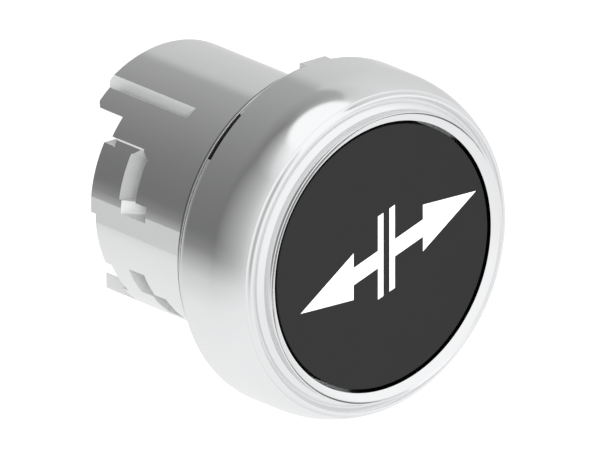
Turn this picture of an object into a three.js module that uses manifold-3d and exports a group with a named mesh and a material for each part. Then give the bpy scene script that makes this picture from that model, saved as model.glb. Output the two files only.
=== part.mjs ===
// Flush push-button actuator for a 22 mm panel hole, as a three.js scene graph.
// Millimetres, +Z up. The button's axis is Y: the finger pushes along +Y, towards the back of the panel.
// The origin is on the axis, in the plane where the gasket meets the front of the panel.

import * as THREE from 'three';
import * as BufferGeometryUtils from 'three/addons/utils/BufferGeometryUtils.js';
import Module from 'manifold-3d';

const wasm = await Module();
wasm.setup();

// ---------------------------------------------------------------- driving dimensions

const SLEEVE_R = 11.0;          // 22 mm sleeve, goes through the 22.3 mm panel hole
const SLEEVE_REAR = 18.5;       // rear end of the two long lugs
const SLEEVE_CHAMFER = 0.55;
const RIM_REAR = 13.9;          // rear edge of the sleeve between its lugs
const WIDE_LUG_REAR = 14.5;     // rear edge of the two wide side lugs
const SMALL_LUG_REAR = 17.3;    // rear edge of the thin lug beside each long one
const SOCKET_R = 9.0;           // rear socket for the contact block
const MOUTH_R = 9.95;           // its wider mouth, between the lugs
const MOUTH_FRONT = 13.3;
const GUIDE_R = 10.0;           // front bore, the plunger skirt slides in it
const COLLAR_R = 12.85;         // collar that carries the bezel
const COLLAR_FRONT = -2.1;
const FLANGE_R = 14.05;         // thin flange behind the bezel
const FLANGE_REAR = -0.27;
const GASKET_R = 13.9;
const FLANGE_THICK = 0.2;
const WEB_FRONT = 6.0;          // web across the sleeve: spring in front, socket behind
const WEB_REAR = 7.2;
const WEB_HOLE_R = 6.5;

const BEZEL_R = 14.88;          // largest radius of the bezel
const BEZEL_REAR = -0.6;
const BEZEL_FRONT = -9.8;       // plane of the bore's rim
const BORE_R = 11.655;
const COUNTERBORE_R = 12.95;    // fits over the collar
const SEAL_GROOVE_R = 13.85;    // open groove in the bezel's rear, for its seal
const SEAL_GROOVE_FRONT = -1.75;
const COUNTERBORE_FRONT = -3.3;
const SHOULDER_ARC_R = 8.0;     // rounding of the bezel's outer shoulder
const SHOULDER_START = -5.2;
const SHOULDER_END = -8.8;

const CAP_R = 11.37;
const CAP_FACE = -9.7;
const CAP_WALL = 1.0;
const CAP_SKIRT_R = 10.17;
const CAP_REAR = -7.45;

const STEM_R = 5.6;
const STEM_FLAT = 5.0;          // half the width over the stem's two flats
const STEM_REAR = 9.6;
const STEM_BORE_R = 3.4;
const SKIRT_R = 9.6;
const SKIRT_WALL = 1.0;
const SKIRT_REAR = 1.0;

const SPRING_R = 7.2;           // to the middle of the wire
const SPRING_WIRE = 0.9;
const SPRING_TURNS = 5;

const FIT = 0.05;               // clearance round a fixed insert
const PLAY = 0.1;               // clearance of a sliding or pressed round fit

const FINE = 60;                // steps round the large turned pieces
const PLAIN = 32;               // steps round the inner pieces

// ---------------------------------------------------------------- materials

function finish(color, roughness, metalness) {
  return new THREE.MeshStandardMaterial({ color, roughness, metalness });
}

const chrome = finish(0xd9dbdc, 0.16, 1.0);
const polishedZinc = finish(0xc9cbcc, 0.24, 1.0);
const springSteel = finish(0x9ea1a3, 0.3, 1.0);
const blackPlastic = finish(0x161617, 0.42, 0.0);
const whitePlastic = finish(0xf4f4f2, 0.45, 0.0);
const greyPlastic = finish(0x5c6064, 0.5, 0.0);
const rubber = finish(0x0f0f10, 0.8, 0.0);

// ---------------------------------------------------------------- solids

function toSolid(geometry) {
  const bare = geometry.clone();
  bare.deleteAttribute('normal');
  bare.deleteAttribute('uv');
  const merged = BufferGeometryUtils.mergeVertices(bare, 1e-4);
  return new wasm.Manifold(new wasm.Mesh({
    numProp: 3,
    vertProperties: new Float32Array(merged.attributes.position.array),
    triVerts: new Uint32Array(merged.index.array),
  }));
}

function toGeometry(solid) {
  const mesh = solid.getMesh();
  const geometry = new THREE.BufferGeometry();
  geometry.setAttribute('position', new THREE.BufferAttribute(mesh.vertProperties, 3));
  geometry.setIndex(new THREE.BufferAttribute(mesh.triVerts, 1));
  geometry.computeVertexNormals();
  return geometry;
}

// A turned ring about Y from [y, radius] points that run anticlockwise, with y to the right.
function turned(points, steps) {
  const profile = points.map(([y, radius]) => new THREE.Vector2(radius, y)).reverse();
  profile.push(profile[0].clone());
  return toSolid(new THREE.LatheGeometry(profile, steps));
}

// A plain ring between two radii and two places along the axis.
function ring(innerR, outerR, front, rear, steps = PLAIN) {
  return turned([[front, innerR], [rear, innerR], [rear, outerR], [front, outerR]], steps);
}

// A round disc or bar on the axis.
function disc(radius, front, rear, steps = PLAIN) {
  const bar = new THREE.CylinderGeometry(radius, radius, rear - front, steps);
  bar.translate(0, (front + rear) / 2, 0);
  return toSolid(bar);
}

function block(xMin, xMax, yMin, yMax, zMin, zMax) {
  const box = new THREE.BoxGeometry(xMax - xMin, yMax - yMin, zMax - zMin);
  box.translate((xMin + xMax) / 2, (yMin + yMax) / 2, (zMin + zMax) / 2);
  return toSolid(box);
}

// A plate whose outline is drawn in the XZ plane, between two places along the axis.
function plate(outline, front, rear) {
  const shape = new THREE.Shape(outline.map(([x, z]) => new THREE.Vector2(x, -z)));
  const slab = new THREE.ExtrudeGeometry(shape, { depth: rear - front, bevelEnabled: false });
  slab.rotateX(-Math.PI / 2);
  slab.translate(0, front, 0);
  return toSolid(slab);
}

// A pie slice of a ring wall. Angles are in degrees from the top, positive towards +X.
function wallSlice(fromDeg, toDeg, front, rear, innerR = 8.0, outerR = 12.0) {
  const steps = Math.max(1, Math.ceil((toDeg - fromDeg) / 6));
  const outline = [];
  for (let i = 0; i <= steps; i += 1) {
    const angle = THREE.MathUtils.degToRad(fromDeg + (toDeg - fromDeg) * i / steps);
    outline.push([outerR * Math.sin(angle), outerR * Math.cos(angle)]);
  }
  for (let i = steps; i >= 0; i -= 1) {
    const angle = THREE.MathUtils.degToRad(fromDeg + (toDeg - fromDeg) * i / steps);
    outline.push([innerR * Math.sin(angle), innerR * Math.cos(angle)]);
  }
  return plate(outline, front, rear);
}

// The same solid, and the same solid half a turn further round the axis.
function bothSides(solid) {
  return solid.add(solid.rotate([0, 180, 0]));
}

function piece(name, solid, material) {
  const mesh = new THREE.Mesh(toGeometry(solid), material);
  mesh.name = name;
  return mesh;
}

// ---------------------------------------------------------------- bezel

function bezelRing() {
  const profile = [
    [BEZEL_FRONT, BORE_R],
    [COUNTERBORE_FRONT, BORE_R],
    [COUNTERBORE_FRONT, COUNTERBORE_R],
    [SEAL_GROOVE_FRONT, COUNTERBORE_R],
    [SEAL_GROOVE_FRONT, SEAL_GROOVE_R],
    [BEZEL_REAR, SEAL_GROOVE_R],
    [BEZEL_REAR, 14.1],
    [-1.15, 14.5],
    [-1.8, BEZEL_R],
  ];
  const arcSteps = 8;
  for (let i = 0; i <= arcSteps; i += 1) {
    const y = THREE.MathUtils.lerp(SHOULDER_START, SHOULDER_END, i / arcSteps);
    const rise = Math.sqrt(SHOULDER_ARC_R ** 2 - (SHOULDER_START - y) ** 2);
    profile.push([y, BEZEL_R - SHOULDER_ARC_R + rise]);
  }
  profile.push(
    [-8.74, 13.94],
    [-8.91, 13.82],
    [-9.23, 13.72],
    [-9.3, 13.55],              // outer crest
    [-8.75, 13.2],
    [-8.7, 13.08],              // groove between the crests
    [-9.06, 13.0],
    [-9.27, 12.78],
    [-9.45, 12.47],
    [-10.3, 12.47],             // inner crest
    [-10.35, 12.4],
    [-10.25, 12.22],
    [BEZEL_FRONT, 11.9],
  );
  const body = turned(profile, FINE);
  const tab = block(-1.38, 1.38, -2.3, -0.83, SEAL_GROOVE_R + 0.1, 16).intersect(disc(14.83, -3, 0, FINE));
  const notch = bothSides(wallSlice(-52.5, -33, -1.8, 0, SEAL_GROOVE_R - 0.1, 16));
  return body.add(tab).subtract(notch);
}

// ---------------------------------------------------------------- sleeve

// Cuts of one half of the sleeve's rear; the other half is the same, turned through 180 degrees,
// because the contact block goes in and turns to lock.
function rearCuts() {
  const past = SLEEVE_REAR + 1;
  const cuts = [
    wallSlice(-56.4, -46.8, RIM_REAR, past),                    // open gap beside the long lug
    block(-6.56, -5.55, 7.51, past, 8.25, 12),                  // long groove in the lug
    block(-12, -5.55, SMALL_LUG_REAR, past, 6, 12),             // the thin lug ends here
    wallSlice(-92, -56.4, WIDE_LUG_REAR, past),                 // the wide lug ends here
    wallSlice(-133.2, -91.5, RIM_REAR, past),                   // lower rim
    wallSlice(-133.2, -116, 13.15, past),                       // step in the lower rim
    block(-14, -6.39, RIM_REAR, past, -12, -5.5),               // flat side of the opposite lug
    block(-14, -5, 17.95, past, -12, -5.5),                     // its corner ends lower
    wallSlice(-80.7, -60, 9.0, 11.03),                          // bayonet slot round the sleeve
    wallSlice(-86.7, -79.5, 7.58, 10.7),                        // detent at its end
    wallSlice(-128, -114, 8.8, 10.75),                          // second slot, towards the bottom
    wallSlice(-141, -126, 7.35, 9.3),
    block(-13, -10.95, 0.3, 7.58, -4, 4),                       // shallow side flat
    block(-13, -10.95, 7, WIDE_LUG_REAR + 1, -1, 4),
  ];
  return cuts.reduce((sum, cut) => sum.add(cut)).add(entryChannel());
}

// Shallow channel from the rear into the bayonet slot; behind the mouth's step it is open right through,
// down to the flat top of the wide lug.
function entryChannel() {
  const angle = THREE.MathUtils.degToRad(-56.4);
  const top = 5.5;
  const outline = [[top * Math.tan(angle), top], [12 * Math.sin(angle), 12 * Math.cos(angle)], [-10.8, top]];
  const open = plate(outline, MOUTH_FRONT, SLEEVE_REAR + 1);
  return open.add(wallSlice(-60, -56.8, 9.5, MOUTH_FRONT + 0.5, SLEEVE_R - 0.1));
}

function mountingSleeve() {
  const body = turned([
    [COLLAR_FRONT, GUIDE_R],
    [WEB_FRONT, GUIDE_R],
    [WEB_FRONT, WEB_HOLE_R],
    [WEB_REAR, WEB_HOLE_R],
    [WEB_REAR, SOCKET_R],
    [MOUTH_FRONT, SOCKET_R],
    [MOUTH_FRONT, MOUTH_R],
    [SLEEVE_REAR, MOUTH_R],
    [SLEEVE_REAR, SLEEVE_R - SLEEVE_CHAMFER],
    [SLEEVE_REAR - SLEEVE_CHAMFER, SLEEVE_R],
    [FLANGE_REAR, SLEEVE_R],
    [FLANGE_REAR, 11.35],
    [-0.9, 11.35],              // seat of the gasket's root
    [-0.9, 11.9],
    [FLANGE_REAR, 11.9],
    [FLANGE_REAR, FLANGE_R],
    [FLANGE_REAR - FLANGE_THICK, FLANGE_R],
    [FLANGE_REAR - FLANGE_THICK, COLLAR_R],
    [COLLAR_FRONT, COLLAR_R],
  ], FINE);
  return body.subtract(bothSides(rearCuts()));
}

// ---------------------------------------------------------------- seals

function panelGasket() {
  return turned([
    [-0.85, 11.42],
    [-0.2, 11.42],
    [-0.2, 11.15],
    [0, 11.15],
    [0, GASKET_R],
    [-0.2, GASKET_R],
    [-0.2, 11.84],
    [-0.85, 11.84],
  ], FINE);
}

function bezelSeal() {
  return ring(COLLAR_R + FIT, SEAL_GROOVE_R - FIT, SEAL_GROOVE_FRONT + FIT, -0.52, FINE);
}

function lipSeal() {
  return turned([
    [-2.65, SKIRT_R + 0.08],
    [-2.5, SKIRT_R + 0.08],
    [-2.15, 10.5],
    [-2.15, COLLAR_R],
    [-2.65, COLLAR_R],
  ], PLAIN);
}

function sealClampRing() {
  return ring(10.35, COLLAR_R, -3.25, -2.7);
}

// ---------------------------------------------------------------- cap and legend

const LEGEND_X = 0.465;         // middle of the bars, a little off the axis
const LEGEND_Z = 0.27;
const ARROW_SHIFT = [0.2, -0.06];   // the arrows' middle, from the bars' middle
const LEGEND_SLOPE = 0.333;     // the figure is sheared: it climbs by this much per unit of X

// Half of the figure, an upright bar and an arrow on one side (side = -1 or 1),
// grown all round by a clearance.
function legendOutlines(side, grow) {
  const placed = (outline, [shiftX, shiftZ]) => outline.map(([across, up]) => {
    const x = side * across;
    return [LEGEND_X + shiftX + x, LEGEND_Z + shiftZ + up + LEGEND_SLOPE * x];
  });
  const bar = [
    [0.325 - grow, -3.65 - grow],
    [0.915 + grow, -3.65 - grow],
    [0.915 + grow, 3.65 + grow],
    [0.325 - grow, 3.65 + grow],
  ];
  const arrow = [
    [0.62, -0.76 - grow],
    [3.74 - grow, -0.76 - grow],
    [3.74 - grow, -2.05 - 2 * grow],
    [9.46 + 3 * grow, 0],
    [3.74 - grow, 2.05 + 2 * grow],
    [3.74 - grow, 0.76 + grow],
    [0.62, 0.76 + grow],
  ];
  const outlines = [placed(bar, [0, 0]), placed(arrow, ARROW_SHIFT)];
  return side > 0 ? outlines : outlines.map((outline) => outline.reverse());
}

function legendFigure(front, rear, grow) {
  return [-1, 1]
    .flatMap((side) => legendOutlines(side, grow))
    .map((outline) => plate(outline, front, rear))
    .reduce((sum, part) => sum.add(part));
}

const LEGEND_BACK = CAP_FACE + CAP_WALL + FIT;

function buttonCap() {
  const shell = turned([
    [CAP_REAR, CAP_SKIRT_R],
    [CAP_REAR, CAP_R],
    [CAP_FACE + 0.25, CAP_R],
    [CAP_FACE + 0.07, CAP_R - 0.07],
    [CAP_FACE, CAP_R - 0.25],
    [CAP_FACE, 5],
    [CAP_FACE + CAP_WALL, 5],
    [CAP_FACE + CAP_WALL, CAP_SKIRT_R],
  ], FINE);
  const middle = disc(6, CAP_FACE, CAP_FACE + CAP_WALL, FINE);
  const windows = legendFigure(CAP_FACE - 1, CAP_FACE + CAP_WALL + 1, FIT);
  return shell.add(middle).subtract(windows);
}

function legendInsert() {
  const back = disc(10.05, LEGEND_BACK, LEGEND_BACK + 0.4);
  return back.add(legendFigure(CAP_FACE, LEGEND_BACK + 0.2, 0));
}

// ---------------------------------------------------------------- plunger group

function doubleD(radius, halfWidth, front, rear) {
  return disc(radius, front, rear).intersect(block(-halfWidth, halfWidth, front - 1, rear + 1, -20, 20));
}

const HEAD_FRONT = LEGEND_BACK + 0.4 + FIT;
const HEAD_REAR = -7.2;

function plunger() {
  const head = disc(9.95, HEAD_FRONT, HEAD_REAR, FINE);
  const skirt = ring(SKIRT_R - SKIRT_WALL, SKIRT_R, HEAD_REAR - 0.3, SKIRT_REAR, FINE);
  const stem = doubleD(STEM_R, STEM_FLAT, HEAD_REAR - 0.3, STEM_REAR);
  const clipGroove = ring(5.2, 7, CLIP_FRONT - FIT, CLIP_REAR + FIT);
  const bore = disc(STEM_BORE_R, -5.5, STEM_REAR + 1);
  return head.add(skirt).add(stem).subtract(clipGroove).subtract(bore);
}

function guideBush() {
  const outer = disc(WEB_HOLE_R - FIT, 4.6, WEB_REAR);
  return outer.subtract(doubleD(STEM_R + PLAY, STEM_FLAT + PLAY, 4, WEB_REAR + 1));
}

function springSeat() {
  return ring(WEB_HOLE_R + PLAY, 8.3, WEB_FRONT - FIT - 0.4, WEB_FRONT - FIT);
}

const SPRING_FRONT = HEAD_REAR + FIT;
const SPRING_REAR = WEB_FRONT - 2 * FIT - 0.4;

class SpringCurve extends THREE.Curve {
  getPoint(t, target = new THREE.Vector3()) {
    const angle = t * SPRING_TURNS * 2 * Math.PI;
    const front = SPRING_FRONT + SPRING_WIRE / 2;
    const rear = SPRING_REAR - SPRING_WIRE / 2;
    return target.set(SPRING_R * Math.sin(angle), THREE.MathUtils.lerp(front, rear, t), SPRING_R * Math.cos(angle));
  }
}

function returnSpring() {
  const sides = 6;
  const section = new THREE.Shape();
  for (let i = 0; i < sides; i += 1) {
    const angle = i * 2 * Math.PI / sides;
    const x = SPRING_WIRE / 2 * Math.cos(angle);
    const y = SPRING_WIRE / 2 * Math.sin(angle);
    if (i === 0) section.moveTo(x, y);
    else section.lineTo(x, y);
  }
  return toSolid(new THREE.ExtrudeGeometry(section, {
    steps: SPRING_TURNS * 16,
    extrudePath: new SpringCurve(),
    bevelEnabled: false,
  }));
}

function bumperRing() {
  return ring(STEM_R + 0.2, 6.95, WEB_REAR + FIT, WEB_REAR + 0.65);
}

const CLIP_FRONT = WEB_REAR + 0.75;
const CLIP_REAR = CLIP_FRONT + 0.8;

function retainingClip() {
  const round = ring(5.27, 6.9, CLIP_FRONT, CLIP_REAR);
  return round.subtract(block(-2.6, 2.6, CLIP_FRONT - 1, CLIP_REAR + 1, 0, 9));
}

const PUSHER_FRONT = STEM_REAR + FIT;

function contactPusher() {
  const base = disc(7.6, PUSHER_FRONT, PUSHER_FRONT + 1.2);
  const spigot = disc(STEM_BORE_R - FIT, PUSHER_FRONT - 2.2, PUSHER_FRONT + 0.5);
  const foot = block(3.6, 6.4, PUSHER_FRONT + 1, PUSHER_FRONT + 2.7, -2.2, 2.2);
  return base.add(spigot).add(bothSides(foot));
}

// ---------------------------------------------------------------- assembly

const actuator = new THREE.Group();

const housing = new THREE.Group();
housing.add(piece('bezel_ring', bezelRing(), chrome));
housing.add(piece('mounting_sleeve', mountingSleeve(), polishedZinc));
housing.add(piece('panel_gasket', panelGasket(), rubber));
housing.add(piece('bezel_seal', bezelSeal(), rubber));
housing.add(piece('lip_seal', lipSeal(), rubber));
housing.add(piece('seal_clamp_ring', sealClampRing(), springSteel));
housing.add(piece('guide_bush', guideBush(), greyPlastic));
housing.add(piece('spring_seat', springSeat(), springSteel));
housing.add(piece('return_spring', returnSpring(), springSteel));
housing.add(piece('bumper_ring', bumperRing(), rubber));
actuator.add(housing);

const button = new THREE.Group();
button.add(piece('button_cap', buttonCap(), blackPlastic));
button.add(piece('legend_insert', legendInsert(), whitePlastic));
button.add(piece('plunger', plunger(), greyPlastic));
button.add(piece('retaining_clip', retainingClip(), springSteel));
button.add(piece('contact_pusher', contactPusher(), blackPlastic));
actuator.add(button);

export default actuator;
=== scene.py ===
"""Flush push-button actuator for a 22 mm panel hole: its pieces, materials and studio, on its CAD frame."""
import math

import bmesh
import bpy
from bpy.props import FloatProperty, FloatVectorProperty, PointerProperty
from mathutils import Matrix, Vector


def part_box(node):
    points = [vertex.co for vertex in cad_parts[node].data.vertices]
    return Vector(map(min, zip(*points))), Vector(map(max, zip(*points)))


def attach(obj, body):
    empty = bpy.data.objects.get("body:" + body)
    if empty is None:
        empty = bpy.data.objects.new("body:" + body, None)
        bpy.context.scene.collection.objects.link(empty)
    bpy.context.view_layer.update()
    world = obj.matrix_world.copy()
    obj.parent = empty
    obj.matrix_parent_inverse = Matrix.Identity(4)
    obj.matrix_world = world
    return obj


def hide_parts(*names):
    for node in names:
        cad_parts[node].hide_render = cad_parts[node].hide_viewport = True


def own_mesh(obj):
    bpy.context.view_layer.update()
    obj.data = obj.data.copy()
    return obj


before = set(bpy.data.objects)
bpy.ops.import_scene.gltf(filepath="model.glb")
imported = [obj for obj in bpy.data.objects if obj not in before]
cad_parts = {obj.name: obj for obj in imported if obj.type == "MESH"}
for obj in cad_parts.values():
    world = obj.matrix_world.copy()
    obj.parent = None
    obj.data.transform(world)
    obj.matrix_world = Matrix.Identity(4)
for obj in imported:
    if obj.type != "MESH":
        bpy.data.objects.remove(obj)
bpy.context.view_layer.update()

bl_info = {
    "name": "Flush Push Button",
    "version": (1, 0, 0),
    "blender": (4, 5, 0),
    "location": "View3D > Sidebar > Push Button",
    "description": "Builds a flush push-button actuator on its CAD frame",
    "category": "Object",
}

MM = 0.001
HOUSING = "housing"
BUTTON = "button"
ROUND = 240                     # steps round a turned piece
FINE_ROUND = 256                # steps round the bezel and the cap, whose rims show most
MERGE = 1e-4                    # vertices closer than this, in millimetres, are one


def extent(node):
    """Lowest and highest corner of a CAD node, in millimetres."""
    low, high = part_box(node)
    return low / MM, high / MM


# ---------------------------------------------------------------- sizes and colours a user may change

def length(name, description, default_mm):
    return FloatProperty(name=name, description=description, default=default_mm * MM, min=0.0,
                         unit="LENGTH", precision=5)


def colour(name, description, default):
    return FloatVectorProperty(name=name, description=description, default=default, size=3,
                               min=0.0, max=1.0, subtype="COLOR")


def share(name, description, default):
    return FloatProperty(name=name, description=description, default=default, min=0.0, max=1.0,
                         subtype="FACTOR")


class ActuatorSizes(bpy.types.PropertyGroup):
    """Sizes of the finished edges and of the legend."""
    bezel_edge: length("Bezel edge", "Rounding of the bezel's sharp corners", 0.06)
    casting_edge: length("Casting edge", "Rounding of the sleeve's cut edges", 0.05)
    cap_edge: length("Cap edge", "Rounding of the cap's front edge", 0.07)
    legend_gap: length("Legend gap", "Clearance between the legend and the cap", 0.004)
    wire: length("Spring wire", "Diameter of the return spring's wire", 0.9)


class ActuatorFinish(bpy.types.PropertyGroup):
    """Colours and gloss of the actuator's surfaces."""
    chrome: colour("Chrome", "Plating of the bezel", (0.86, 0.865, 0.872))
    zinc: colour("Zinc", "Plated casting of the sleeve", (0.83, 0.834, 0.84))
    steel: colour("Steel", "Spring, clip and washers", (0.56, 0.57, 0.58))
    cap: colour("Cap", "Black plastic of the cap", (0.007, 0.007, 0.0074))
    legend: colour("Legend", "White plastic of the legend", (0.95, 0.95, 0.945))
    moulding: colour("Moulding", "Grey plastic of the plunger and bush", (0.085, 0.09, 0.095))
    rubber: colour("Rubber", "Gasket and seals", (0.012, 0.012, 0.012))
    chrome_roughness: share("Chrome roughness", "Roughness of the chrome plating", 0.1)
    zinc_roughness: share("Zinc roughness", "Roughness of the plated casting", 0.13)


# ---------------------------------------------------------------- shader wires

class Wire:
    """An output socket that can be used in sums: each operator adds its Math node."""

    def __init__(self, graph, socket):
        self.graph = graph
        self.socket = socket

    def math(self, operation, *others):
        values = dict(enumerate((self, *others)))
        return self.graph.add("ShaderNodeMath", {"operation": operation}, values)

    def reflected(self, operation, other):
        return self.graph.add("ShaderNodeMath", {"operation": operation}, {0: other, 1: self})

    def __add__(self, other):
        return self.math("ADD", other)

    __radd__ = __add__

    def __sub__(self, other):
        return self.math("SUBTRACT", other)

    def __rsub__(self, other):
        return self.reflected("SUBTRACT", other)

    def __mul__(self, other):
        return self.math("MULTIPLY", other)

    __rmul__ = __mul__

    def __truediv__(self, other):
        return self.math("DIVIDE", other)


class Graph:
    """A node tree that is filled one node at a time."""

    def __init__(self, tree):
        self.tree = tree
        tree.nodes.clear()

    def add(self, kind, settings=None, sockets=None, output=0):
        node = self.tree.nodes.new(kind)
        for name, value in (settings or {}).items():
            if name == "stops":
                self.set_stops(node.color_ramp, value)
            else:
                setattr(node, name, value)
        for key, value in (sockets or {}).items():
            if isinstance(value, Wire):
                self.tree.links.new(value.socket, node.inputs[key])
            else:
                node.inputs[key].default_value = value
        return Wire(self, node.outputs[output]) if node.outputs else node

    @staticmethod
    def set_stops(ramp, stops):
        for place, value in stops[1:-1]:
            ramp.elements.new(place).color = (value, value, value, 1)
        for element, (place, value) in zip(ramp.elements, stops):
            element.position = place
            element.color = (value, value, value, 1)

    def blend(self, mask, first, second):
        """first where the mask is 0, second where it is 1."""
        sockets = {0: mask, 6: self.rgba(first), 7: self.rgba(second)}
        return self.add("ShaderNodeMix", {"data_type": "RGBA"}, sockets, output=2)

    @staticmethod
    def rgba(value):
        return value if isinstance(value, Wire) else (*value[:3], 1)

    def place(self):
        """Object coordinates in millimetres."""
        place = self.add("ShaderNodeTexCoord", output=3)
        return self.add("ShaderNodeVectorMath", {"operation": "SCALE"}, {0: place, 3: 1 / MM})

    def stretched_place(self, scale):
        """Object coordinates in millimetres, scaled along each axis."""
        return self.add("ShaderNodeMapping", {}, {"Vector": self.place(), "Scale": scale})

    def noise(self, place, per_mm, detail=3.0):
        return self.add("ShaderNodeTexNoise", {}, {"Vector": place, "Scale": per_mm, "Detail": detail})

    def bump(self, height, depth_mm, strength):
        sockets = {"Height": height, "Distance": depth_mm * MM, "Strength": strength}
        return self.add("ShaderNodeBump", {}, sockets)


def finish_material(name, **inputs):
    """A new material with one Principled shader.

    Inputs name its sockets in small letters. Each is a value, or a function that draws what varies.
    """
    material = bpy.data.materials.new(name)
    material.use_nodes = True
    graph = Graph(material.node_tree)
    sockets = {key: value(graph) if callable(value) else value for key, value in inputs.items()}
    sockets = {key.replace("_", " ").title().replace("Ior", "IOR"): value for key, value in sockets.items()}
    sockets["Base Color"] = Graph.rgba(sockets["Base Color"])
    shader = graph.add("ShaderNodeBsdfPrincipled", {}, sockets)
    graph.add("ShaderNodeOutputMaterial", {}, {"Surface": shader})
    return material


def cached(build):
    """Makes a material once, the first time that a piece asks for it."""
    made = {}

    def get():
        if "it" not in made:
            made["it"] = build(bpy.context.scene.actuator_finish)
        return made["it"]
    return get


def shaded(tone, factor):
    return tuple(min(1.0, channel * factor) for channel in tone)


@cached
def chrome_plating(look):
    """Bright chrome: faint cloudiness from handling, and a trace of the buffing under the plating."""
    def base(graph):
        return graph.blend(graph.noise(graph.place(), 0.22), shaded(look.chrome, 0.985), look.chrome)

    def roughness(graph):
        return look.chrome_roughness * (0.85 + 0.3 * graph.noise(graph.place(), 0.7))

    def normal(graph):
        return graph.bump(graph.noise(graph.place(), 0.5, 2.0), 0.004, 0.35)

    return finish_material("chrome_plating", base_color=base, metallic=1.0, roughness=roughness,
                           normal=normal)


@cached
def plated_casting(look):
    """Die-cast zinc under bright nickel: smooth, with the soft unevenness of a casting."""
    def base(graph):
        return graph.blend(graph.noise(graph.place(), 0.3), shaded(look.zinc, 0.975), look.zinc)

    def roughness(graph):
        return look.zinc_roughness * (0.8 + 0.4 * graph.noise(graph.place(), 0.9))

    def normal(graph):
        return graph.bump(graph.noise(graph.place(), 0.8), 0.006, 0.4)

    return finish_material("plated_casting", base_color=base, metallic=1.0, roughness=roughness,
                           normal=normal)


@cached
def cut_casting(look):
    """Faces of the casting that were cut after plating: pale, satin, with a fine tool grain."""
    def grain(graph):
        return graph.noise(graph.stretched_place((3.0, 0.6, 3.0)), 3.0)

    def base(graph):
        return graph.blend(grain(graph), shaded(look.zinc, 0.65), shaded(look.zinc, 0.72))

    def roughness(graph):
        return 0.42 + 0.1 * grain(graph)

    return finish_material("cut_casting", base_color=base, metallic=0.15, roughness=roughness,
                           normal=lambda graph: graph.bump(grain(graph), 0.004, 0.3))


@cached
def spring_steel(look):
    """Drawn and stamped steel, a little dull, with fine drawing lines."""
    def streaks(graph):
        return graph.noise(graph.stretched_place((6.0, 1.0, 6.0)), 1.5, 4.0)

    def base(graph):
        return graph.blend(streaks(graph), shaded(look.steel, 0.82), look.steel)

    def roughness(graph):
        return 0.24 + 0.16 * streaks(graph)

    return finish_material("spring_steel", base_color=base, metallic=1.0, roughness=roughness,
                           normal=lambda graph: graph.bump(streaks(graph), 0.01, 0.3))


def moulded(name, tone, low_roughness, grain_per_mm=7.0, grain_depth=0.006, mottle=0.12, gloss=0.5):
    """Injection-moulded plastic with the fine spark-eroded grain of its mould."""
    def base(graph):
        cloud = graph.noise(graph.place(), 0.35, 4.0)
        return graph.blend(cloud, shaded(tone, 1 - mottle), shaded(tone, 1 + mottle))

    def roughness(graph):
        return low_roughness + 0.1 * graph.noise(graph.place(), 1.1, 5.0)

    def normal(graph):
        return graph.bump(graph.noise(graph.place(), grain_per_mm, 2.0), grain_depth, 0.35)

    return finish_material(name, base_color=base, roughness=roughness, normal=normal,
                           specular_ior_level=gloss)


@cached
def black_cap(look):
    return moulded("black_cap_plastic", look.cap, 0.3, grain_per_mm=9.0, grain_depth=0.003, gloss=0.32)


@cached
def white_legend(look):
    return moulded("white_legend_plastic", look.legend, 0.4, grain_per_mm=6.0, grain_depth=0.003,
                   mottle=0.01)


@cached
def grey_moulding(look):
    return moulded("grey_plunger_plastic", look.moulding, 0.38)


@cached
def black_moulding(look):
    return moulded("black_pusher_plastic", shaded(look.cap, 1.4), 0.42)


@cached
def seal_rubber(look):
    """Moulded rubber: dull, with a dusty bloom in patches."""
    def bloom(graph):
        return graph.noise(graph.place(), 0.8, 5.0)

    def base(graph):
        return graph.blend(bloom(graph), look.rubber, shaded(look.rubber, 2.0))

    def roughness(graph):
        return 0.55 + 0.25 * bloom(graph)

    def normal(graph):
        return graph.bump(graph.noise(graph.place(), 5.0), 0.01, 0.5)

    return finish_material("seal_rubber", base_color=base, roughness=roughness, normal=normal)


# ---------------------------------------------------------------- modelling, in millimetres

def outline_face(bm, points, place):
    """One face through (across, up) or (across, up, rounding) points; place gives each its position."""
    corners = [bm.verts.new(place(across, up)) for across, up, *_ in points]
    bm.faces.new(corners)
    roundings = [point[2] if len(point) > 2 else 0 for point in points]
    for size in sorted(set(roundings) - {0}):
        same = [corner for corner, rounding in zip(corners, roundings) if rounding == size]
        bmesh.ops.bevel(bm, geom=same, offset=size, offset_type="OFFSET", segments=3, profile=0.5,
                        affect="VERTICES", material=-1)


def turned(points, steps=ROUND):
    """A closed profile of (place on the axis, radius, rounding) points, turned about Y."""
    bm = bmesh.new()
    outline_face(bm, points, lambda y, radius: Vector((0, y, radius)))
    bmesh.ops.delete(bm, geom=bm.faces[:], context="FACES_ONLY")
    bmesh.ops.spin(bm, geom=bm.edges[:], cent=(0, 0, 0), axis=(0, 1, 0), angle=math.tau, steps=steps,
                   use_merge=True)
    bmesh.ops.remove_doubles(bm, verts=bm.verts[:], dist=MERGE)
    bmesh.ops.recalc_face_normals(bm, faces=bm.faces[:])
    return bm


def ring(inner, outer, front, rear, rounding):
    """A flat ring on the axis, with its four edges rounded."""
    corners = [(front, inner), (rear, inner), (rear, outer), (front, outer)]
    return turned([(*corner, rounding) for corner in corners])


def disc_rims(bm):
    """The edges round the two ends of a disc."""
    return [edge for edge in bm.edges if edge.calc_face_angle(0) > 1]


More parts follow.
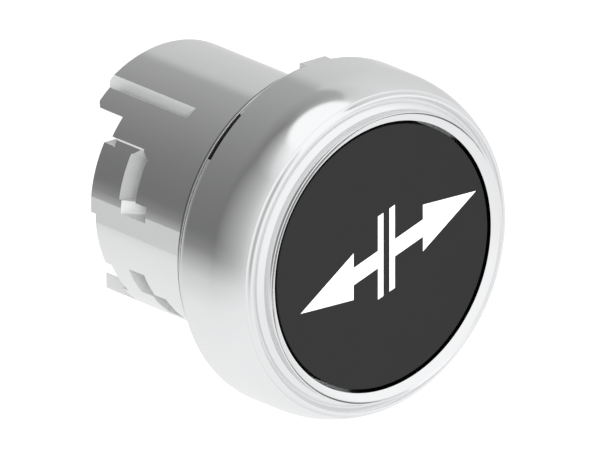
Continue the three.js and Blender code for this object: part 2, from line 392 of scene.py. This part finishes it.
def disc(radius, front, rear, rounding=0.0, steps=ROUND):
    """A solid disc on the axis, with its edges rounded."""
    bm = bmesh.new()
    bmesh.ops.create_cone(bm, cap_ends=True, segments=steps, radius1=radius, radius2=radius,
                          depth=rear - front)
    bmesh.ops.rotate(bm, verts=bm.verts[:], matrix=Matrix.Rotation(math.radians(-90), 3, "X"))
    bmesh.ops.translate(bm, verts=bm.verts[:], vec=(0, (front + rear) / 2, 0))
    if rounding:
        bmesh.ops.bevel(bm, geom=disc_rims(bm), offset=rounding, segments=3, profile=0.5, affect="EDGES",
                        material=-1)
    bmesh.ops.recalc_face_normals(bm, faces=bm.faces[:])
    return bm


def block(low, high, rounding=0.0):
    """A box between two corners, with its edges rounded."""
    bm = bmesh.new()
    bmesh.ops.create_cube(bm, size=1)
    low, high = Vector(low), Vector(high)
    bmesh.ops.scale(bm, vec=high - low, verts=bm.verts[:])
    bmesh.ops.translate(bm, vec=(low + high) / 2, verts=bm.verts[:])
    if rounding:
        bmesh.ops.bevel(bm, geom=bm.edges[:], offset=rounding, segments=3, profile=0.5, affect="EDGES",
                        material=-1)
    return bm


def plate(points, front, rear):
    """An outline of (x, z, rounding) points, extruded along the axis."""
    bm = bmesh.new()
    outline_face(bm, points, lambda x, z: Vector((x, front, z)))
    grown = bmesh.ops.extrude_face_region(bm, geom=bm.faces[:])
    moved = [part for part in grown["geom"] if isinstance(part, bmesh.types.BMVert)]
    bmesh.ops.translate(bm, vec=(0, rear - front, 0), verts=moved)
    bmesh.ops.recalc_face_normals(bm, faces=bm.faces[:])
    return bm


def wall_slice(start, end, front, rear, inner=8.0, outer=12.0, lean=0.0):
    """A block that cuts a ring wall between two angles, in degrees from the top towards +X.

    Its rear face leans forwards by lean at the inner radius.
    """
    bm = bmesh.new()
    corners = [(front, inner), (rear - lean, inner), (rear, outer), (front, outer)]
    outline_face(bm, corners, lambda y, radius: Vector((0, y, radius)))
    bmesh.ops.rotate(bm, verts=bm.verts[:], matrix=Matrix.Rotation(math.radians(start), 3, "Y"))
    steps = max(1, math.ceil((end - start) / 2))
    bmesh.ops.spin(bm, geom=bm.faces[:], cent=(0, 0, 0), axis=(0, 1, 0), steps=steps,
                   angle=math.radians(end - start))
    bmesh.ops.recalc_face_normals(bm, faces=bm.faces[:])
    return bm


def turn_of(vert):
    """A vertex's angle from the top towards +X, in degrees."""
    return math.degrees(math.atan2(vert.co.x, vert.co.z))


def half_turn(bm):
    """The same shape, half a turn further round the axis."""
    copy = bm.copy()
    bmesh.ops.rotate(copy, verts=copy.verts[:], matrix=Matrix.Rotation(math.pi, 3, "Y"))
    return copy


def merged(*parts):
    """One bmesh that holds several closed shapes."""
    whole = bmesh.new()
    for part in parts:
        mesh = bpy.data.meshes.new("part")
        part.to_mesh(mesh)
        whole.from_mesh(mesh)
        bpy.data.meshes.remove(mesh)
    return whole


def as_object(name, bm):
    """Links a new object that holds a bmesh, and frees the bmesh."""
    mesh = bpy.data.meshes.new(name)
    bm.to_mesh(mesh)
    bm.free()
    piece = bpy.data.objects.new(name, mesh)
    bpy.context.scene.collection.objects.link(piece)
    return piece


def mark_cut_faces(bm):
    """Second slot for a cutter's faces, except those that look along the radius, which keep the plating."""
    for face in bm.faces:
        centre = face.calc_center_median()
        radial = Vector((centre.x, 0, centre.z)).normalized()
        face.material_index = 0 if abs(face.normal.dot(radial)) > 0.95 else 1


def add_slots(piece):
    """Two empty material slots: the piece's own finish, and the finish of its cut faces."""
    for _ in range(2):
        piece.data.materials.append(None)


def applied(piece):
    """Turns a piece's modifiers into its mesh."""
    shape = piece.evaluated_get(bpy.context.evaluated_depsgraph_get())
    mesh = bpy.data.meshes.new_from_object(shape)
    piece.modifiers.clear()
    piece.data = mesh


def shaped(name, bm, steps):
    """Runs (operation, tool shape) boolean steps on a shape; faces left by a cut take the second slot."""
    piece = as_object(name, bm)
    add_slots(piece)
    for operation, tool_shape in steps:
        if operation == "DIFFERENCE":
            mark_cut_faces(tool_shape)
        tool = as_object(name + "_tool", tool_shape)
        add_slots(tool)
        boolean = piece.modifiers.new(operation, "BOOLEAN")
        boolean.operation = operation
        boolean.solver = "MANIFOLD"
        boolean.material_mode = "INDEX"
        boolean.object = tool
        bpy.context.view_layer.update()
        applied(piece)
        bpy.data.objects.remove(tool)
    return piece


def bevelled(piece, width):
    """Rounds every sharp edge of a piece."""
    bevel = piece.modifiers.new("edges", "BEVEL")
    bevel.width = width
    bevel.segments = 2
    bevel.limit_method = "ANGLE"
    bevel.angle_limit = math.radians(35)
    bevel.use_clamp_overlap = True
    applied(piece)


def finished(piece, node, body, material, smooth=30, cut=None):
    """Brings a piece to metres, shades it, and puts it on its body in its CAD node's stead.

    Edges sharper than smooth, in degrees, stay hard. Faces in the second slot take the cut finish.
    """
    mesh = piece.data
    mesh.transform(Matrix.Scale(MM, 4))
    if not mesh.materials:
        mesh.materials.append(None)
    for i in range(len(mesh.materials)):
        mesh.materials[i] = cut if cut and i > 0 else material
    mesh.shade_smooth()
    mesh.set_sharp_from_angle(angle=math.radians(smooth))
    normals = piece.modifiers.new("even_normals", "WEIGHTED_NORMAL")
    normals.keep_sharp = True
    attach(piece, body)
    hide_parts(node)


# ---------------------------------------------------------------- bezel

COLLAR_R = 12.85                # the sleeve's collar, inside the bezel
SEAL_GROOVE_R = 13.85           # open groove in the bezel's rear, for its seal
SEAL_GROOVE_FRONT = -1.75
NOTCH_ARC = (-52.5, -33.0)      # degrees: the notch in the bezel's rear edge
TAB_HALF_WIDTH = 1.38
TAB_TOP = 14.79


def bezel_profile(edge):
    """Bore, groove for the seal, rear edge, arched shoulder, and the two stepped crests of the front."""
    low, high = extent("bezel_ring")
    radius, crest, rear = high.x, low.y, high.y
    rim = crest + 0.55
    bore = 11.655
    shoulder_arc = 8.0
    arc_start, arc_end, arc_steps = rim + 4.6, rim + 1.0, 20
    counterbore, step = COLLAR_R + 0.1, -3.3
    points = [
        (rim, bore, edge / 2),
        (step, bore, 0),
        (step, counterbore, 0),
        (SEAL_GROOVE_FRONT, counterbore, 0),
        (SEAL_GROOVE_FRONT, SEAL_GROOVE_R, 0),
        (rear, SEAL_GROOVE_R, edge / 2),
        (rear, 14.1, edge / 2),
        (rear - 0.4, 14.45, 0.15),
        (rear - 0.9, radius, 0.3),
    ]
    for i in range(arc_steps + 1):
        y = arc_start + (arc_end - arc_start) * i / arc_steps
        points.append((y, radius - shoulder_arc + math.sqrt(shoulder_arc ** 2 - (arc_start - y) ** 2), 0))
    points += [
        (rim + 1.06, 13.94, 0.03),
        (rim + 0.89, 13.82, 0.03),
        (rim + 0.57, 13.72, 0.1),
        (rim + 0.5, 13.52, 0.1),
        (rim + 1.05, 13.22, 0.08),
        (rim + 1.1, 13.06, 0.08),
        (rim + 0.74, 13.0, 0.05),
        (rim + 0.53, 12.78, 0.08),
        (rim + 0.35, 12.53, 0.03),
        (rim - 0.5, 12.53, 0.06),
        (crest, 12.46, 0.06),
        (rim - 0.3, 12.33, 0.08),
        (rim, 11.72, 0.03),
    ]
    return points


class BUTTON_OT_bezel(bpy.types.Operator):
    """Turn the chromed bezel, with its tab and its two rear notches"""
    bl_idname = "push_button.bezel"
    bl_label = "Bezel"

    def execute(self, context):
        edge = context.scene.actuator_sizes.bezel_edge / MM
        rear = extent("bezel_ring")[1].y
        tab = block((-TAB_HALF_WIDTH, rear - 1.7, SEAL_GROOVE_R + 0.05),
                    (TAB_HALF_WIDTH, rear - 0.15, TAB_TOP), 0.06)
        for face in tab.faces:
            face.material_index = 1 if abs(face.normal.x) > 0.9 else 0
        notch = wall_slice(*NOTCH_ARC, rear - 1.2, rear + 1, SEAL_GROOVE_R - 0.1, 16)
        piece = shaped("bezel", turned(bezel_profile(edge), FINE_ROUND), [
            ("UNION", tab),
            ("DIFFERENCE", merged(notch, half_turn(notch))),
        ])
        finished(piece, "bezel_ring", HOUSING, chrome_plating(), cut=cut_casting())
        return {"FINISHED"}


# ---------------------------------------------------------------- sleeve

RIM_REAR = 13.9                 # rear edge of the sleeve between its lugs
WIDE_LUG_REAR = 14.5
SMALL_LUG_REAR = 17.3           # the thin lug beside each long one
SLOT_FRONT = 9.0                # bayonet slot
SLOT_REAR = 11.03
CHANNEL_SIDE = -56.4            # degrees: the channel's radial wall, and the edge of the gap above it
CHANNEL_TOP = 5.5               # the flat top of the wide lug
SOCKET_R = 9.0
MOUTH_R = 9.95                  # the socket's wider mouth
MOUTH_FRONT = 13.3
LUG_CORNER_REAR = 17.95         # the long lugs' end, outside the chamfer
GROOVE_LEFT = -6.56             # long groove in each long lug, between two planes
GROOVE_RIGHT = -5.55
LUG_SIDE = -6.39                # flat side of each long lug
SIDE_FLAT = 10.95               # half the width over the two shallow side flats
SLEEVE_R = 11.0
OUTSIDE = 12.0                  # anywhere outside the sleeve


def entry_channel():
    """Shallow channel that leads into the bayonet slot; its front end slants and its upper wall slopes."""
    lower, upper = -60.2, -57.1
    slant = 0.3
    channel = wall_slice(lower, upper, SLOT_FRONT - 0.1, MOUTH_FRONT + 0.02, SLEEVE_R - 0.1)
    for vert in channel.verts:
        if vert.co.y < MOUTH_FRONT:
            vert.co.y += (turn_of(vert) - lower) * slant
    upper_edge = [vert for vert in channel.verts
                  if turn_of(vert) > upper - 0.1 and Vector((vert.co.x, vert.co.z)).length > SLEEVE_R]
    bmesh.ops.rotate(channel, verts=upper_edge, matrix=Matrix.Rotation(math.radians(7), 3, "Y"))
    return channel


def slot_head():
    """Three-cornered top of the bayonet slot, where the channel runs into it."""
    lower, upper, apex = -60.5, CHANNEL_SIDE, 10.1
    head = wall_slice(lower, upper, SLOT_FRONT, SLOT_REAR)
    for vert in head.verts:
        rise = (turn_of(vert) - lower) / (upper - lower)
        vert.co.y += rise * (apex - vert.co.y)
    bmesh.ops.remove_doubles(head, verts=head.verts[:], dist=MERGE)
    return head


def lug_gap(past):
    """Open V behind the mouth's step, down to the flat top of the wide lug."""
    angle = math.radians(CHANNEL_SIDE)
    root = (CHANNEL_TOP * math.tan(angle), CHANNEL_TOP)
    top = (OUTSIDE * math.sin(angle), OUTSIDE * math.cos(angle))
    return plate([root, top, (-10.8, CHANNEL_TOP)], MOUTH_FRONT, past)


def small_lug_end(past):
    """What ends the thin lug: its lower corner is cut off at a slant."""
    lower, upper = -48, -44.1
    slant = 0.18
    end = wall_slice(lower, upper, SMALL_LUG_REAR - 0.7, past)
    for vert in end.verts:
        if vert.co.y < past:
            vert.co.y += (turn_of(vert) - lower) * slant
    return end


def rear_cuts(rear):
    """What is cut from one half of the sleeve's rear."""
    past = rear + 1
    lug_end = -133.2
    small_lug = [
        wall_slice(CHANNEL_SIDE, -46.8, RIM_REAR, past),
        block((GROOVE_LEFT, 7.51, 8.25), (GROOVE_RIGHT, past, OUTSIDE)),
        block((-OUTSIDE, SMALL_LUG_REAR, 6), (GROOVE_RIGHT, past, OUTSIDE)),
        small_lug_end(past),
        plate([(-8.02, 7.53), (-6.0, 5.63), (-5.6, 6.02)], RIM_REAR, past),
    ]
    wide_lug = [
        wall_slice(-92, CHANNEL_SIDE, WIDE_LUG_REAR, past),
        wall_slice(lug_end, -91.5, RIM_REAR, past),
        wall_slice(lug_end, -116, RIM_REAR - 0.75, past),
    ]
    long_lug = [
        block((-14, RIM_REAR, -OUTSIDE), (LUG_SIDE, past, -5.5)),
        block((-14, LUG_CORNER_REAR, -OUTSIDE), (-5, past, -5.5)),
    ]
    slots = [
        wall_slice(-80.7, -60, SLOT_FRONT, SLOT_REAR),
        wall_slice(-86.7, -79.5, 7.58, 11.45, lean=3.0),
        wall_slice(-128, -114, 8.8, 10.75),
        wall_slice(-141, -126, 7.35, 9.3),
    ]
    side_flat = [
        block((-13, 0.3, -4), (-SIDE_FLAT, 7.58, 4)),
        block((-13, 7, -1), (-SIDE_FLAT, WIDE_LUG_REAR + 1, 4)),
    ]
    mouth = [slot_head(), entry_channel(), lug_gap(past)]
    return small_lug + wide_lug + long_lug + slots + side_flat + mouth


def sleeve_profile(rear):
    """Bore, web, socket and its mouth, outer wall, seat of the gasket, thin flange, and collar."""
    low, high = extent("mounting_sleeve")
    flange, front = high.x, low.y
    guide = 10.0
    chamfer = 0.55
    web_front, web_rear, web_hole = 6.0, 7.2, 6.5
    flange_front, flange_rear = -0.47, -0.27
    seat_in, seat_out, seat_depth = 11.35, 11.9, -0.9
    return [
        (front, guide, 0.1),
        (web_front, guide, 0.1),
        (web_front, web_hole, 0.05),
        (web_rear, web_hole, 0.05),
        (web_rear, SOCKET_R, 0.2),
        (MOUTH_FRONT, SOCKET_R, 0.05),
        (MOUTH_FRONT, MOUTH_R, 0.05),
        (rear, MOUTH_R, 0.05),
        (rear, SLEEVE_R - chamfer, 0.05),
        (rear - chamfer, SLEEVE_R, 0.05),
        (flange_rear, SLEEVE_R, 0.03),
        (flange_rear, seat_in, 0.0),
        (seat_depth, seat_in, 0.0),
        (seat_depth, seat_out, 0.0),
        (flange_rear, seat_out, 0.0),
        (flange_rear, flange, 0.04),
        (flange_front, flange, 0.04),
        (flange_front, COLLAR_R, 0.0),
        (front, COLLAR_R, 0.05),
    ]


class BUTTON_OT_sleeve(bpy.types.Operator):
    """Turn the mounting sleeve and cut its lugs, groove and bayonet slots"""
    bl_idname = "push_button.sleeve"
    bl_label = "Mounting sleeve"

    def execute(self, context):
        rear = extent("mounting_sleeve")[1].y
        cuts = [("DIFFERENCE", merged(cut, half_turn(cut))) for cut in rear_cuts(rear)]
        piece = shaped("sleeve", turned(sleeve_profile(rear)), cuts)
        bevelled(piece, context.scene.actuator_sizes.casting_edge / MM)
        finished(piece, "mounting_sleeve", HOUSING, plated_casting(), smooth=8,
                 cut=cut_casting())
        return {"FINISHED"}


# ---------------------------------------------------------------- seals and rings

def gasket_shape():
    """Flat ring behind the flange, with a bead that sits in the sleeve's groove."""
    inner, outer, front = 11.15, 13.9, -0.2
    bead_inner, bead_outer, bead_front = 11.42, 11.84, -0.85
    return turned([
        (bead_front, bead_inner, 0.05),
        (front, bead_inner, 0),
        (front, inner, 0.02),
        (0, inner, 0.04),
        (0, outer, 0.06),
        (front, outer, 0.04),
        (front, bead_outer, 0),
        (bead_front, bead_outer, 0.05),
    ])


def lip_seal_shape():
    """Ring that thins to a lip on the plunger's skirt."""
    lip, front, rear = 9.68, -2.65, -2.15
    return turned([
        (front, lip, 0.03),
        (front + 0.15, lip, 0.03),
        (rear, 10.5, 0.1),
        (rear, COLLAR_R, 0.05),
        (front, COLLAR_R, 0.05),
    ])


class BUTTON_OT_seals(bpy.types.Operator):
    """Turn the gasket, the seals, the rubber stop and the flat rings"""
    bl_idname = "push_button.seals"
    bl_label = "Seals and rings"

    def execute(self, context):
        rubber, steel = ("rubber", seal_rubber()), ("steel", spring_steel())
        rows = [
            ("gasket", gasket_shape(), "panel_gasket", rubber),
            ("bezel_band_seal", ring(12.9, 13.8, -1.7, -0.52, 0.12), "bezel_seal", rubber),
            ("plunger_lip_seal", lip_seal_shape(), "lip_seal", rubber),
            ("stop_ring", ring(5.8, 6.95, 7.25, 7.85, 0.15), "bumper_ring", rubber),
            ("clamp_ring", ring(10.35, COLLAR_R, -3.25, -2.7, 0.05), "seal_clamp_ring", steel),
            ("spring_washer", ring(6.6, 8.3, 5.55, 5.95, 0.05), "spring_seat", steel),
        ]
        for name, shape, node, (slot, material) in rows:
            finished(as_object(name, shape), node, HOUSING, material)
        return {"FINISHED"}


# ---------------------------------------------------------------- cap and legend

CAP_BORE_R = 10.17
CAP_FACE_THICKNESS = 1.0
LEGEND_CENTRE = (0.465, 0.27)
ARROW_SHIFT = (0.2, -0.06)      # the arrows' middle, from the bars' middle
LEGEND_SLOPE = 0.333            # the figure climbs by this much per unit to the right


def legend_outlines(side, grow):
    """An upright bar and an arrow on one side of the figure, as outlines of (x, z) points."""
    bar_near, bar_far, bar_half = 0.325, 0.915, 3.65
    shaft_root, shaft_half = 0.62, 0.76
    head_base, head_half, tip = 3.74, 2.05, 9.46
    bar = [
        (bar_near - grow, -bar_half - grow),
        (bar_far + grow, -bar_half - grow),
        (bar_far + grow, bar_half + grow),
        (bar_near - grow, bar_half + grow),
    ]
    arrow = [
        (shaft_root, -shaft_half - grow),
        (head_base - grow, -shaft_half - grow),
        (head_base - grow, -head_half - 1.5 * grow),
        (tip + 3 * grow, 0),
        (head_base - grow, head_half + 1.5 * grow),
        (head_base - grow, shaft_half + grow),
        (shaft_root, shaft_half + grow),
    ]

    def placed(outline, shift):
        middle_x = LEGEND_CENTRE[0] + shift[0]
        middle_z = LEGEND_CENTRE[1] + shift[1]
        return [(middle_x + side * across, middle_z + up + LEGEND_SLOPE * side * across)
                for across, up in outline]
    return [placed(bar, (0, 0)), placed(arrow, ARROW_SHIFT)]


def legend_steps(operation, front, rear, grow):
    """Boolean steps that add or cut the whole figure."""
    outlines = [outline for side in (-1, 1) for outline in legend_outlines(side, grow)]
    return [(operation, plate(outline, front, rear)) for outline in outlines]


class BUTTON_OT_cap(bpy.types.Operator):
    """Turn the black cap and cut the legend's windows through it"""
    bl_idname = "push_button.cap"
    bl_label = "Cap"

    def execute(self, context):
        sizes = context.scene.actuator_sizes
        low, high = extent("button_cap")
        face, rear, radius = low.y, high.y, high.x
        solid = disc(radius, face, rear, steps=FINE_ROUND)
        front_rim = [edge for edge in disc_rims(solid) if edge.verts[0].co.y < (face + rear) / 2]
        bmesh.ops.bevel(solid, geom=front_rim, offset=sizes.cap_edge / MM, segments=5, profile=0.5,
                        affect="EDGES", material=-1)
        hollow = disc(CAP_BORE_R, face + CAP_FACE_THICKNESS, rear + 1, steps=FINE_ROUND)
        steps = [("DIFFERENCE", hollow)]
        steps += legend_steps("DIFFERENCE", face - 1, face + 2, sizes.legend_gap / MM)
        piece = shaped("cap", solid, steps)
        finished(piece, "button_cap", BUTTON, black_cap())
        return {"FINISHED"}


class BUTTON_OT_legend(bpy.types.Operator):
    """Build the white moulding whose figure fills the cap's windows"""
    bl_idname = "push_button.legend"
    bl_label = "Legend"

    def execute(self, context):
        low, high = extent("legend_insert")
        back = high.y - 0.4
        carrier = disc(10.05, back, high.y, 0.05)
        piece = shaped("legend", carrier, legend_steps("UNION", low.y, back + 0.2, 0))
        finished(piece, "legend_insert", BUTTON, white_legend())
        return {"FINISHED"}


# ---------------------------------------------------------------- plunger, spring and rear parts

STEM_R = 5.6
STEM_FLAT = 5.0                 # half the width over the stem's two flats


def flats(half_width, front, rear):
    """Two blocks that cut a round bar to a double-D."""
    side = block((half_width, front, -12), (12, rear, 12))
    return merged(side, half_turn(side))


class BUTTON_OT_plunger(bpy.types.Operator):
    """Build the plunger, its guide bush and the retaining clip"""
    bl_idname = "push_button.plunger"
    bl_label = "Plunger group"

    def execute(self, context):
        low, high = extent("plunger")
        clip_low, clip_high = extent("retaining_clip")
        head, skirt, wall = 9.95, 9.6, 1.0
        floor, skirt_end = -7.2, 1.0
        vent, bore, bore_floor = 0.8, 3.4, -5.5
        neck, neck_start, neck_end = 5.2, clip_low.y - 0.05, clip_high.y + 0.05
        stem = turned([
            (low.y, vent, 0),
            (low.y, head, 0.1),
            (floor, head, 0.1),
            (floor, skirt, 0.05),
            (skirt_end, skirt, 0.1),
            (skirt_end, skirt - wall, 0.1),
            (floor, skirt - wall, 0.2),
            (floor, STEM_R, 0.2),
            (neck_start, STEM_R, 0.03),
            (neck_start, neck, 0.03),
            (neck_end, neck, 0.03),
            (neck_end, STEM_R, 0.03),
            (high.y, STEM_R, 0.15),
            (high.y, bore, 0.1),
            (bore_floor, bore, 0.1),
            (bore_floor, vent, 0),
        ])
        piece = shaped("plunger_body", stem, [("DIFFERENCE", flats(STEM_FLAT, floor + 0.3, high.y + 1))])
        finished(piece, "plunger", BUTTON, grey_moulding())

        bush_low, bush_high = extent("guide_bush")
        play = 0.1
        hole = shaped("bush_hole", disc(STEM_R + play, bush_low.y - 1, bush_high.y + 1),
                      [("DIFFERENCE", flats(STEM_FLAT + play, bush_low.y - 2, bush_high.y + 2))])
        cutter = bmesh.new()
        cutter.from_mesh(hole.data)
        bpy.data.objects.remove(hole)
        bar = disc(bush_high.x, bush_low.y, bush_high.y, 0.08)
        piece = shaped("bush", bar, [("DIFFERENCE", cutter)])
        finished(piece, "guide_bush", HOUSING, grey_moulding())

        mouth = block((-2.6, clip_low.y - 1, 0), (2.6, clip_high.y + 1, 9))
        round_clip = ring(5.27, 6.9, clip_low.y, clip_high.y, 0)
        piece = shaped("clip", round_clip, [("DIFFERENCE", mouth)])
        bevelled(piece, 0.08)
        finished(piece, "retaining_clip", BUTTON, spring_steel())
        return {"FINISHED"}


class BUTTON_OT_spring(bpy.types.Operator):
    """Wind the return spring, with closed end turns"""
    bl_idname = "push_button.spring"
    bl_label = "Return spring"

    def execute(self, context):
        wire = context.scene.actuator_sizes.wire / MM
        low, high = extent("return_spring")
        radius = high.x - wire / 2
        turn_steps = 48
        closed, active = 1, 4
        closed_pitch = wire * 1.03
        open_pitch = (high.y - low.y - wire - 2 * closed * closed_pitch) / active
        bm = bmesh.new()
        made = bmesh.ops.create_circle(bm, cap_ends=True, segments=16, radius=wire / 2)
        bmesh.ops.rotate(bm, verts=made["verts"], matrix=Matrix.Rotation(math.radians(90), 3, "Y"))
        bmesh.ops.translate(bm, verts=made["verts"], vec=(0, low.y + wire / 2, radius))
        section = bm.faces[:]
        for turns, pitch in ((closed, closed_pitch), (active, open_pitch), (closed, closed_pitch)):
            wound = bmesh.ops.spin(bm, geom=section, cent=(0, 0, 0), axis=(0, 1, 0), angle=math.tau * turns,
                                   steps=turn_steps * turns, dvec=(0, pitch / turn_steps, 0))
            section = [part for part in wound["geom_last"] if isinstance(part, bmesh.types.BMFace)]
        bmesh.ops.remove_doubles(bm, verts=bm.verts[:], dist=MERGE)
        bmesh.ops.recalc_face_normals(bm, faces=bm.faces[:])
        piece = as_object("coil_spring", bm)
        finished(piece, "return_spring", HOUSING, spring_steel(), smooth=50)
        piece.modifiers.clear()
        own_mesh(piece)
        return {"FINISHED"}


class BUTTON_OT_pusher(bpy.types.Operator):
    """Build the rear disc with the two feet that press the contact block"""
    bl_idname = "push_button.pusher"
    bl_label = "Contact pusher"

    def execute(self, context):
        low, high = extent("contact_pusher")
        front = extent("plunger")[1].y + 0.05
        foot = block((3.6, front + 1, -2.2), (6.4, high.y, 2.2), 0.25)
        piece = shaped("pusher", disc(high.x, front, front + 1.2, 0.2), [
            ("UNION", disc(3.35, low.y, front + 0.5, 0.1)),
            ("UNION", foot),
            ("UNION", half_turn(foot)),
        ])
        finished(piece, "contact_pusher", BUTTON, black_moulding())
        return {"FINISHED"}


# ---------------------------------------------------------------- studio

AZIMUTH = math.radians(-40.2)
ELEVATION = math.radians(20.25)
VIEW_WIDTH = 49.44 * MM
VIEW_RIGHT = -6.832 * MM        # the view's middle, from the middle of the cap's face
VIEW_UP = 2.627 * MM
CAMERA_DISTANCE = 0.2
FLOOR_R = 450
FLOOR_DROP = 60
PANEL_PLACE = (-0.26, -0.24, 0.14)


def add_camera(scene):
    """A parallel view, so that the sleeve's sides stay parallel."""
    right = Vector((math.cos(AZIMUTH), math.sin(AZIMUTH), 0))
    back = Vector((math.sin(AZIMUTH) * math.cos(ELEVATION), -math.cos(AZIMUTH) * math.cos(ELEVATION),
                   math.sin(ELEVATION)))
    up = back.cross(right)
    data = bpy.data.cameras.new("camera")
    data.type = "ORTHO"
    data.ortho_scale = VIEW_WIDTH
    data.clip_start = 0.01
    data.clip_end = 10
    rim = Vector((0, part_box("button_cap")[0].y - 0.1 * MM, 0))
    target = rim + VIEW_RIGHT * right + VIEW_UP * up
    camera = bpy.data.objects.new("camera", data)
    axes = Matrix((right, up, back)).transposed().to_4x4()
    camera.matrix_world = Matrix.Translation(target + back * CAMERA_DISTANCE) @ axes
    scene.collection.objects.link(camera)
    scene.camera = camera


def add_floor():
    """A small matt table below the object."""
    bm = bmesh.new()
    bmesh.ops.create_circle(bm, cap_ends=True, segments=96, radius=FLOOR_R)
    bmesh.ops.translate(bm, verts=bm.verts[:], vec=(0, 0, -FLOOR_DROP))
    floor = as_object("floor", bm)
    floor.data.transform(Matrix.Scale(MM, 4))
    paper = finish_material("floor_paper", base_color=(0.9, 0.9, 0.9), roughness=0.9,
                            emission_color=(1, 1, 1, 1), emission_strength=0.35)
    floor.data.materials.append(paper)
    floor.visible_glossy = False


def add_front_light(scene):
    """A wide soft panel in front of the cap that no surface mirrors."""
    data = bpy.data.lights.new("front_panel", "AREA")
    data.shape = "SQUARE"
    data.size = 0.25
    data.energy = 1.2
    light = bpy.data.objects.new("front_panel", data)
    light.location = PANEL_PLACE
    light.rotation_euler = Vector(PANEL_PLACE).to_track_quat("Z", "Y").to_euler()
    light.visible_glossy = False
    scene.collection.objects.link(light)


def ramp(graph, wire, low, high, stops):
    """A colour ramp of (value, brightness) stops over the range from low to high."""
    span = high - low
    places = [((value - low) / span, brightness) for value, brightness in stops]
    return graph.add("ShaderNodeValToRGB", {"stops": places}, {0: (wire - low) / span})


def add_surroundings(scene):
    """Soft studio: bright in front, overhead and below, darker behind on the left, white to the eye."""
    world = bpy.data.worlds.new("studio")
    world.use_nodes = True
    scene.world = world
    graph = Graph(world.node_tree)
    direction = graph.add("ShaderNodeTexCoord", output=0)
    parts = graph.add("ShaderNodeSeparateXYZ", {}, {0: direction})
    x, y, z = (Wire(graph, parts.socket.node.outputs[i]) for i in range(3))
    azimuth = x.math("ARCTAN2", y) * math.degrees(1)
    height = z.math("ARCSINE") * math.degrees(1)
    drift = (height - 45).math("MAXIMUM", 0) * 1.5
    around = ramp(graph, azimuth - drift, -180, 180, [
        (-180, 1.0), (-125, 0.95), (-97, 0.7), (-88, 0.54), (-77, 0.42), (-65, 0.32), (-46, 0.175),
        (-26, 0.24), (0, 0.31), (26, 0.38), (32, 0.58), (48, 0.66), (65, 0.7), (90, 0.78), (125, 1.0),
        (180, 1.0),
    ])
    below = ramp(graph, height, -90, 0, [
        (-90, 1.0), (-50, 1.0), (-32, 0.93), (-20, 0.68), (-7, 0.1), (0, 0.0),
    ])
    above = ramp(graph, height, 0, 90, [(0, 0.0), (60, 0.05), (66, 0.15), (70, 1.0), (90, 1.0)])
    light = graph.blend(above, graph.blend(below, around * 1.06, (0.95, 0.95, 0.95)), (1.1, 1.1, 1.1))
    sky = graph.add("ShaderNodeBackground", {}, {"Color": light})
    white = graph.add("ShaderNodeBackground", {}, {"Color": (1, 1, 1, 1), "Strength": 1.05})
    seen = graph.add("ShaderNodeLightPath", output=0)
    both = graph.add("ShaderNodeMixShader", {}, {0: seen, 1: sky, 2: white})
    graph.add("ShaderNodeOutputWorld", {}, {"Surface": both})


class BUTTON_OT_stage(bpy.types.Operator):
    """Set up the camera, the pale floor and the soft studio light"""
    bl_idname = "push_button.stage"
    bl_label = "Stage"

    def execute(self, context):
        scene = context.scene
        scene.view_settings.view_transform = "Standard"
        add_camera(scene)
        add_floor()
        add_front_light(scene)
        add_surroundings(scene)
        return {"FINISHED"}


# ---------------------------------------------------------------- add-on

STEPS = (BUTTON_OT_stage, BUTTON_OT_bezel, BUTTON_OT_sleeve, BUTTON_OT_seals, BUTTON_OT_cap,
         BUTTON_OT_legend, BUTTON_OT_plunger, BUTTON_OT_spring, BUTTON_OT_pusher)


class BUTTON_PT_panel(bpy.types.Panel):
    """Sidebar panel that lists the steps, the sizes and the finishes."""
    bl_idname = "BUTTON_PT_panel"
    bl_label = "Push Button"
    bl_space_type = "VIEW_3D"
    bl_region_type = "UI"
    bl_category = "Push Button"

    def draw(self, context):
        for step in STEPS:
            self.layout.operator(step.bl_idname)
        for group in (context.scene.actuator_sizes, context.scene.actuator_finish):
            for name in group.__annotations__:
                self.layout.prop(group, name)


CLASSES = (ActuatorSizes, ActuatorFinish, *STEPS, BUTTON_PT_panel)


def register():
    for cls in CLASSES:
        bpy.utils.register_class(cls)
    bpy.types.Scene.actuator_sizes = PointerProperty(type=ActuatorSizes)
    bpy.types.Scene.actuator_finish = PointerProperty(type=ActuatorFinish)


def unregister():
    del bpy.types.Scene.actuator_finish
    del bpy.types.Scene.actuator_sizes
    for cls in reversed(CLASSES):
        bpy.utils.unregister_class(cls)


def main():
    register()
    for step in STEPS:
        group, name = step.bl_idname.split(".")
        getattr(getattr(bpy.ops, group), name)()


if __name__ == "__main__":
    main()
